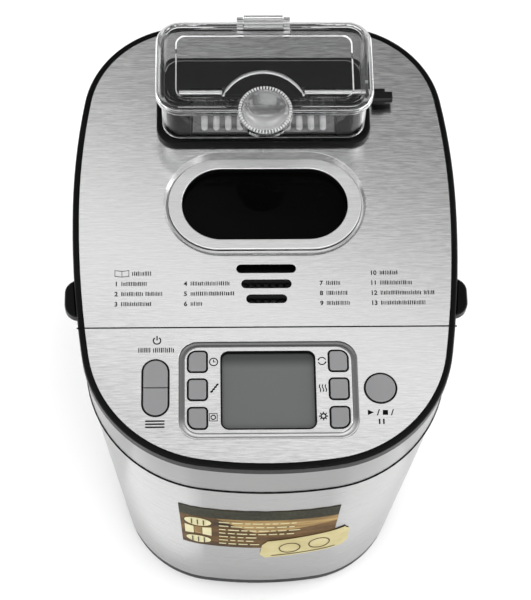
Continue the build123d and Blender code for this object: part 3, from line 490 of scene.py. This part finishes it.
def shell_point(side, height, lift):
    """Point on the front of the body: distance round the curve and height, in millimetres."""
    grow = SHELL_GROW - (SHELL_TOP / MM - height) * TAPER + lift
    centre = corner_centre(HALF_WIDTH, FRONT_REACH, *FRONT_RADII)
    end_y = FRONT_REACH - FRONT_RADII[2]
    turn = math.atan2(centre.x, centre.y - end_y)
    angle = abs(side) / SHEET_RADIUS
    radius = FRONT_RADII[2] + grow
    if angle <= turn:
        x, y = radius * math.sin(angle), end_y + radius * math.cos(angle)
    else:
        radius = FRONT_RADII[1] + grow
        angle = turn + (angle - turn) * SHEET_RADIUS / radius
        x, y = centre.x + radius * math.sin(angle), centre.y + radius * math.cos(angle)
    return place(math.copysign(x, side), -y, height)


def add_patch(bm, corners, lift, steps):
    """Curved patch between four (side, height) corners, lying on the body."""
    grid = []
    for level in (0.0, PAPER_THICK):
        rows = []
        for j in range(steps[1] + 1):
            v = j / steps[1]
            row = []
            for i in range(steps[0] + 1):
                u = i / steps[0]
                low = [corners[0][k] * (1 - u) + corners[1][k] * u for k in (0, 1)]
                high = [corners[3][k] * (1 - u) + corners[2][k] * u for k in (0, 1)]
                spot = [low[k] * (1 - v) + high[k] * v for k in (0, 1)]
                row.append(bm.verts.new(shell_point(spot[0], spot[1], lift + level)))
            rows.append(row)
        grid.append(rows)
    under, over = grid
    for j in range(steps[1]):
        for i in range(steps[0]):
            bm.faces.new((over[j][i], over[j][i + 1], over[j + 1][i + 1], over[j + 1][i]))
            bm.faces.new((under[j][i], under[j + 1][i], under[j + 1][i + 1], under[j][i + 1]))
    border = [(0, i) for i in range(steps[0] + 1)]
    border += [(j, steps[0]) for j in range(1, steps[1] + 1)]
    border += [(steps[1], i) for i in range(steps[0] - 1, -1, -1)]
    border += [(j, 0) for j in range(steps[1] - 1, 0, -1)]
    for (a, b), (c, d) in zip(border, border[1:] + border[:1]):
        bm.faces.new((under[a][b], under[c][d], over[c][d], over[a][b]))


def add_fan(bm, points, lift):
    """Convex shape given by its (side, height) outline, lying on the body."""
    top = [bm.verts.new(shell_point(s, h, lift + PAPER_THICK)) for s, h in points]
    bottom = [bm.verts.new(shell_point(s, h, lift)) for s, h in points]
    add_prism(bm, bottom, top)


def paper(name, dark, light, scale=(60.0, 60.0, 60.0)):
    """Printed paper with a soft variation in tone."""
    n = Nodes(name)
    n.set(spec=0.03)
    n.colour(n.noise(scale, detail=4.0), dark, light)
    n.rough(n.noise((400.0, 400.0, 400.0)), 0.4, 0.55)
    n.bump(n.noise((900.0, 900.0, 900.0)), 0.05, 0.00002)
    return n.mat


def oval_patch(side, height, half_s, half_h, count=24):
    """Outline of an oval on the body, from its centre and half sizes."""
    return [(side + half_s * math.cos(2 * math.pi * i / count),
             height + half_h * math.sin(2 * math.pi * i / count)) for i in range(count)]


def sticker():
    """Plain sales sticker: bread-coloured ground, pictograms, dotted lines and a tag."""
    parts = {
        "sticker_ground": (paper("sticker_brown", (0.018, 0.008, 0.003), (0.17, 0.088, 0.022),
                                 (14.0, 14.0, 60.0)), 0.05),
        "sticker_strip": (paper("sticker_olive", (0.014, 0.014, 0.006), (0.026, 0.026, 0.012)), 0.20),
        "sticker_gold": (paper("sticker_gold", (0.10, 0.055, 0.014), (0.46, 0.31, 0.12),
                               (20.0, 20.0, 90.0)), 0.20),
        "sticker_cream": (paper("sticker_cream", (0.50, 0.46, 0.26), (0.62, 0.58, 0.36)), 0.40),
        "sticker_tag": (paper("sticker_tag", (0.42, 0.36, 0.17), (0.52, 0.46, 0.25)), 0.60),
        "sticker_line": (paper("sticker_line", (0.05, 0.035, 0.015), (0.08, 0.06, 0.03)), 0.85),
    }
    shapes = {name: [] for name in parts}
    shapes["sticker_ground"].append([(-55.4, 110.0), (47.2, 110.0), (47.6, 203.0), (-56.4, 203.0)])
    shapes["sticker_strip"].append([(-56.3, 182.0), (47.4, 182.0), (47.6, 203.0), (-56.4, 203.0)])
    shapes["sticker_gold"].append([(-6.0, 150.0), (47.2, 168.0), (47.3, 181.8), (-32.0, 181.8)])
    fans = {name: [] for name in parts}
    shapes["sticker_tag"].append([(1.0, 84.5), (56.0, 97.5), (55.0, 145.0), (2.0, 128.5)])
    shapes["sticker_tag"].append([(-2.0, 93.0), (1.1, 86.0), (2.1, 127.0), (-1.0, 119.0)])
    shapes["sticker_tag"].append([(55.9, 99.0), (59.0, 106.0), (58.2, 136.0), (54.9, 143.0)])
    for oval in ((-44.0, 169.0, 9.0, 9.5), (-44.0, 125.0, 8.5, 8.5)):
        fans["sticker_cream"].append(oval_patch(*oval))
    shapes["sticker_cream"].append([(-53.0, 137.0), (-47.0, 139.0), (-47.0, 156.0), (-53.0, 158.0)])
    shapes["sticker_cream"].append([(-41.0, 139.0), (-35.0, 137.0), (-35.0, 158.0), (-41.0, 156.0)])
    shapes["sticker_gold"].append([(-46.5, 139.0), (-41.5, 139.0), (-41.5, 156.0), (-46.5, 156.0)])
    for row in range(7):
        height = 174.0 - row * 9.0
        side = -30.0
        while side < (18.0 if row < 4 else -6.0):
            length = random.uniform(3.0, 7.5)
            shapes["sticker_cream"].append([(side, height - 1.1), (side + length, height - 1.1),
                                            (side + length, height + 1.1), (side, height + 1.1)])
            side += length + 1.6
    for side, height in ((-44.0, 169.0), (-44.0, 125.0)):
        for middle in (side - 4.0, side, side + 4.0):
            left, right = middle - 0.4, middle + 0.4
            shapes["sticker_line"].append([(left, height - 6.0), (right, height - 6.0),
                                           (right, height + 6.0), (left, height + 6.0)])
    for centre_s, centre_h in ((18.0, 110.0), (38.0, 116.0)):
        ring = oval_patch(centre_s, centre_h, 7.5, 13.0, 20)
        inner = oval_patch(centre_s, centre_h, 6.7, 11.6, 20)
        for i in range(20):
            j = (i + 1) % 20
            shapes["sticker_line"].append([inner[i], inner[j], ring[j], ring[i]])
    shapes["sticker_line"].append([(6.0, 90.0), (50.0, 99.5), (50.0, 101.0), (6.0, 91.5)])
    for name, (mat, lift) in parts.items():
        def build(bm, name=name, lift=lift):
            for corners in shapes[name]:
                wide = abs(corners[1][0] - corners[0][0]) > 12
                add_patch(bm, corners, lift, (24, 10) if wide else (3, 2))
            for outline in fans[name]:
                add_fan(bm, outline, lift)
        new_piece(name, mat, "housing", build)


# ---------- small pieces that the CAD leaves out ----------

def corner_centre(half, reach, side_r, corner_r, end_r):
    """Centre of the corner arc that touches the side arc and the end arc."""
    side_c = Vector((half - side_r, 0.0))
    end_c = Vector((0.0, reach - end_r))
    span = end_c - side_c
    near, far = side_r - corner_r, end_r - corner_r
    along = (near**2 - far**2 + span.length**2) / (2 * span.length)
    across = math.sqrt(near**2 - along**2)
    unit = span.normalized()
    middle = side_c + unit * along
    sideways = Vector((unit.y, -unit.x)) * across
    return max((middle + sideways, middle - sideways), key=lambda point: point.x + point.y)


def plan_outline(grow, count=16):
    """Points round the oval plan of the machine, grown outward, in millimetres."""
    points = []
    for reach, radii, sign in ((FRONT_REACH, FRONT_RADII, -1), (REAR_REACH, REAR_RADII, 1)):
        half = HALF_WIDTH + grow
        reach = reach + grow
        side_r, corner_r, end_r = (radius + grow for radius in radii)
        centre = corner_centre(half, reach, side_r, corner_r, end_r)
        side_c = Vector((half - side_r, 0.0))
        end_c = Vector((0.0, reach - end_r))
        first = (centre - side_c).normalized()
        second = (centre - end_c).normalized()
        turns = ((side_c, side_r, 0.0, math.atan2(first.y, first.x)),
                 (centre, corner_r, math.atan2(first.y, first.x), math.atan2(second.y, second.x)),
                 (end_c, end_r, math.atan2(second.y, second.x), math.pi / 2))
        quarter = []
        for middle, radius, start, stop in turns:
            for i in range(count):
                angle = start + (stop - start) * i / count
                quarter.append((middle.x + radius * math.cos(angle), middle.y + radius * math.sin(angle)))
        quarter.append((0.0, reach))
        right = [(x, sign * y) for x, y in quarter]
        left = [(-x, sign * y) for x, y in reversed(quarter[:-1])]
        half_loop = right + left
        points += half_loop[:-1] if sign < 0 else list(reversed(half_loop))[:-1]
    return points


def add_ring(bm, profile):
    """Ring round the machine from a closed profile of (grow, height) pairs."""
    loops = []
    for grow, height in profile:
        loops.append([bm.verts.new(place(x, y, height)) for x, y in plan_outline(grow)])
    for near, far in zip(loops, loops[1:] + loops[:1]):
        bridge(bm, near, far)


def seam_bead():
    """Black bead that fills the joint between the band and the body."""
    top = SHELL_TOP / MM
    profile = [(1.4, top + 0.02), (2.5, top - 0.30), (3.0, top - 0.25), (3.2, top + 0.0),
               (3.2, top + 0.75), (3.0, top + 0.95), (2.65, top + 0.95), (1.4, top + 0.58)]
    new_piece("seam_bead", RIM_BLACK, "housing", lambda bm: add_ring(bm, profile),
              smooth=True)


def tab_centre():
    """Middle of the thumb tab's upper face."""
    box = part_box("dispenser_cover")
    return Vector((0.0, box[0].y + TAB_RADIUS * MM, box[1].z))


def tab_ring():
    """Milled ring round the cover's thumb tab."""
    centre = tab_centre()

    def build(bm):
        teeth = 52
        for step in range(teeth):
            a0 = 2 * math.pi * step / teeth
            a1 = 2 * math.pi * (step + 0.5) / teeth
            base, top = [], []
            for angle, reach, inset in ((a0, 15.0, 0.3), (a0, 17.1, -0.3), (a1, 17.1, -0.3), (a1, 15.0, 0.3)):
                ray = Vector((math.cos(angle), math.sin(angle), 0.0))
                base.append(bm.verts.new(centre + ray * reach * MM + Vector((0, 0, -0.4 * MM))))
                top.append(bm.verts.new(centre + ray * (reach + inset) * MM + Vector((0, 0, 0.9 * MM))))
            add_prism(bm, base, top)

    new_piece("tab_ring", FROSTED, "cover", build)


def tab_frost():
    """Clear at the rear and milky at the front, for the face of the thumb tab."""
    n = Nodes("tab_frost")
    n.set(spec=0.5)
    grain = n.noise((500.0, 500.0, 500.0))
    n.colour(grain, (0.80, 0.81, 0.81), (0.94, 0.94, 0.94))
    n.rough(grain, 0.06, 0.14)
    n.bump(grain, 0.1, 0.00004)
    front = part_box("dispenser_cover")[0].y
    clear = map_range(n.tree, n.split()["Y"], front + 5.0 * MM, front + 22.0 * MM, 0.74, 0.98)
    n.link(clear, n.bsdf.inputs["Transmission Weight"])
    return n.mat


def tab_face():
    """Thin stepped disc inside the milled ring."""
    centre = tab_centre()
    profile = [(14.8, 0.05), (14.8, 0.35), (13.6, 0.55), (12.4, 0.35), (11.4, 0.5), (7.0, 0.62), (2.0, 0.66)]

    def build(bm):
        rings = []
        for radius, height in profile:
            rings.append([bm.verts.new(centre + Vector((x * MM, y * MM, height * MM)))
                          for x, y in circle(0.0, 0.0, radius, 64)])
        for low, high in zip(rings, rings[1:]):
            bridge(bm, low, high)
        bm.faces.new(rings[-1])
        bm.faces.new(list(reversed(rings[0])))

    new_piece("tab_face", tab_frost(), "cover", build, smooth=True)


def hood_edge():
    """Bright moulded bead along the curved edge of the dispenser's hood."""
    centre_y, radius, z = 62.4, 28.1, 307.7
    rear_y, rear_radius, steps = 71.9, 29.0, 48
    profile = [(-2.2, 0.25), (-1.8, 0.55), (-0.6, 0.70), (0.4, 0.4), (0.95, -0.35), (0.9, -0.7), (-0.6, -0.5)]
    start = math.asin((rear_y - centre_y) / rear_radius)

    def build(bm):
        rings = []
        for i in range(steps + 1):
            angle = start + (math.pi - 2 * start) * i / steps
            taper = math.sin(math.pi * min(max(i / steps, 0.04), 0.96)) ** 0.35
            rings.append([bm.verts.new(place((radius + a * taper) * math.cos(angle),
                                             centre_y + (radius + a * taper) * math.sin(angle),
                                             z + b * taper)) for a, b in profile])
        for near, far in zip(rings, rings[1:]):
            bridge(bm, near, far)
        bm.faces.new(rings[0])
        bm.faces.new(list(reversed(rings[-1])))

    new_piece("hood_edge", MATS["polished_steel"], "lid", build, smooth=True)


def rounded_rectangle(x, y, width, depth, radius, count=8):
    """Outline of a rectangle with round corners, from its centre."""
    points = []
    for quarter, (sx, sy) in enumerate(((1, 1), (-1, 1), (-1, -1), (1, -1))):
        cx, cy = x + sx * (width / 2 - radius), y + sy * (depth / 2 - radius)
        points += circle(cx, cy, radius, count, 90.0 * quarter, 90.0)
    return points


def display_trough():
    """Satin trough pressed into the panel round the display and its keys; its steel is painted light along
    the front and dark from there back, as painted light and shade of the groove's walls.
    """
    top = TOP_Z / MM
    levels = [(0.25, -0.10), (1.2, -0.52), (2.1, -0.66), (3.0, -0.52), (3.9, -0.10),
              (3.9, -0.16), (3.0, -0.6), (2.1, -0.74), (1.2, -0.6), (0.25, -0.16)]

    def build(bm):
        loops = []
        for inset, drop in levels:
            outline = rounded_rectangle(0.0, -128.9, 111.0 - 2 * inset, 65.0 - 2 * inset, 12.0 - inset * 0.75)
            loops.append([bm.verts.new(place(x, y, top + drop)) for x, y in outline])
        for near, far in zip(loops, loops[1:] + loops[:1]):
            bridge(bm, near, far)

    new_piece("display_trough", TROUGH_PAINTED_SHADE, "housing", build, smooth=True)


def vent_filter():
    """Dark foam pad between the steam grille and the lid's liner."""
    def build(bm):
        add_outline(bm, rounded_rectangle(0.0, -56.5, 45.0, 32.0, 3.0, 6), 283.65, 284.45)

    new_piece("vent_filter", MATS["rubber"], "lid", build)


def seam_strip():
    """Soft black strip on the panel's rear edge, under the lid's front edge."""
    top = TOP_Z / MM
    outline = [(-118.6, -87.2), (118.6, -87.2), (118.6, -86.35), (-118.6, -86.35)]

    def build(bm):
        add_outline(bm, outline, top - 0.4, top + 0.06)

    new_piece("seam_strip", RIM_BLACK, "housing", build)


menu_print()
panel_print()
sticker()
seam_bead()
tab_ring()
tab_face()
vent_filter()
hood_edge()
display_trough()
seam_strip()


# ---------- stage, light and camera ----------

AZIMUTH = math.radians(3.69)
ELEVATION = math.radians(64.83)
ROLL = math.radians(3.0)
EYE = place(-35.12, -600.87, 1430.09)


def make_camera():
    """Camera above and in front of the machine, a little to its left and rolled."""
    ahead = Vector((math.sin(AZIMUTH) * math.cos(ELEVATION),
                    math.cos(AZIMUTH) * math.cos(ELEVATION), -math.sin(ELEVATION)))
    right = Vector((math.cos(AZIMUTH), -math.sin(AZIMUTH), 0.0))
    up = right.cross(ahead)
    turned_right = math.cos(ROLL) * right + math.sin(ROLL) * up
    turned_up = -math.sin(ROLL) * right + math.cos(ROLL) * up
    data = bpy.data.cameras.new("camera")
    data.sensor_width = 36.0
    data.lens = 120.0
    data.clip_start = 0.05
    data.clip_end = 20.0
    camera = add_object("camera", data)
    basis = Matrix((turned_right, turned_up, -ahead)).transposed().to_4x4()
    camera.matrix_world = Matrix.Translation(EYE) @ basis
    bpy.context.scene.camera = camera


def area_light(name, spot, aim, size, radiance, spin=None):
    """Rectangular softbox that shows the given brightness; spin turns one that lies flat."""
    data = bpy.data.lights.new(name, "AREA")
    data.shape = "RECTANGLE"
    data.size, data.size_y = size
    data.energy = radiance * math.pi * size[0] * size[1]
    lamp = add_object(name, data)
    lamp.location = spot
    lamp.rotation_euler = (Vector(aim) - Vector(spot)).to_track_quat("-Z", "Y").to_euler()
    if spin is not None:
        lamp.rotation_euler = (math.pi, 0.0, spin)


def make_world():
    """Studio surroundings: bright overhead in front and to the left, darker behind."""
    world = bpy.data.worlds.new("studio")
    world.use_nodes = True
    tree = world.node_tree
    coord = tree.nodes.new("ShaderNodeTexCoord")

    def combine(operation, a, b):
        node = tree.nodes.new("ShaderNodeMath")
        node.operation = operation
        tree.links.new(a, node.inputs[0])
        tree.links.new(b, node.inputs[1])
        return node.outputs["Value"]

    def toward(direction, start, stop, low, high):
        """Smooth change along the dot product with a direction."""
        dot = tree.nodes.new("ShaderNodeVectorMath")
        dot.operation = "DOT_PRODUCT"
        dot.inputs[1].default_value = direction
        tree.links.new(coord.outputs["Generated"], dot.inputs[0])
        return map_range(tree, dot.outputs["Value"], start, stop, low, high)

    # along the slanted line that the flat top mirrors: light, then a brighter strip, then dark
    panel = toward((0.35, 1.0, 0.0), 0.43, 0.51, 0.92, 0.12)
    # the dark end stays behind the machine and not at its sides
    for flank in ((1.0, 0.0, 0.0), (-1.0, 0.0, 0.0)):
        panel = combine("MAXIMUM", panel, toward(flank, 0.32, 0.60, 0.0, 0.50))
    strip = toward((0.35, 1.0, 0.0), 0.36, 0.435, 0.86, 1.93)
    # brighter in front, which whitens the floor, and dimmer towards the horizon
    front = toward((0.0, 1.0, 0.0), 0.02, 0.26, 3.7, 1.0)
    horizon = toward((0.0, 0.0, 1.0), 0.25, 0.60, 0.30, 1.0)
    # dark patch towards the camera, which faces square to it mirror
    hood = toward((-0.03, -0.42, 0.907), 0.88, 0.96, 1.0, 0.12)
    light = combine("MULTIPLY", combine("MULTIPLY", panel, front), combine("MULTIPLY", horizon, hood))
    light = combine("MULTIPLY", light, strip)
    # dimmer patches that the upper corners of the dish round the window mirror
    for corner in ((0.68, -0.23, 0.70), (-0.64, -0.23, 0.73)):
        light = combine("MULTIPLY", light, toward(corner, 0.90, 0.97, 1.0, 0.25))
    # the dish's right slope mirrors the shade and its left slope the glow
    shade = toward((-0.83, 0.40, 0.37), 0.84, 0.95, 1.0, 0.45)
    glow = toward((0.83, 0.40, 0.37), 0.80, 0.92, 0.0, 0.8)
    light = combine("ADD", combine("MULTIPLY", light, shade), glow)
    tree.links.new(light, tree.nodes["Background"].inputs["Strength"])
    tree.nodes["Background"].inputs["Color"].default_value = (1.0, 1.0, 1.0, 1.0)
    bpy.context.scene.world = world


def make_floor():
    """Plain white ground."""
    n = Nodes("floor")
    n.set(spec=0.1)
    n.colour(n.noise((6.0, 6.0, 6.0)), (0.975, 0.975, 0.975), (0.99, 0.99, 0.99))
    n.rough(n.noise((300.0, 300.0, 300.0)), 0.8, 0.9)
    mesh = bpy.data.meshes.new("floor")
    reach = 4.0
    mesh.from_pydata([(-reach, -reach, 0), (reach, -reach, 0), (reach, reach, 0), (-reach, reach, 0)],
                     [], [(0, 1, 2, 3)])
    floor = add_object("floor", mesh)
    mesh.materials.append(n.mat)


make_camera()
make_world()
make_floor()
area_light("left_card", (-0.62, -0.08, 0.22), (0.0, -0.08, 0.04), (0.8, 0.36), 2.8)
area_light("right_card", (0.62, -0.08, 0.22), (0.0, -0.08, 0.04), (0.8, 0.36), 2.2)
for side, reach, radiance in ((-1, 122.0, 0.60), (1, 138.0, 0.36)):
    glow_at = place(side * reach, -180.0, 1.0)
    area_light(f"floor_glow_{side}", glow_at, glow_at + Vector((0.0, 0.0, 1.0)), (0.12, 0.085), radiance,
               side * math.radians(38.0))
area_light("front_light", (0.0, -2.2, 1.2), (0.0, 0.0, 0.1), (2.2, 0.9), 0.4)
bpy.context.scene.view_settings.view_transform = "Standard"
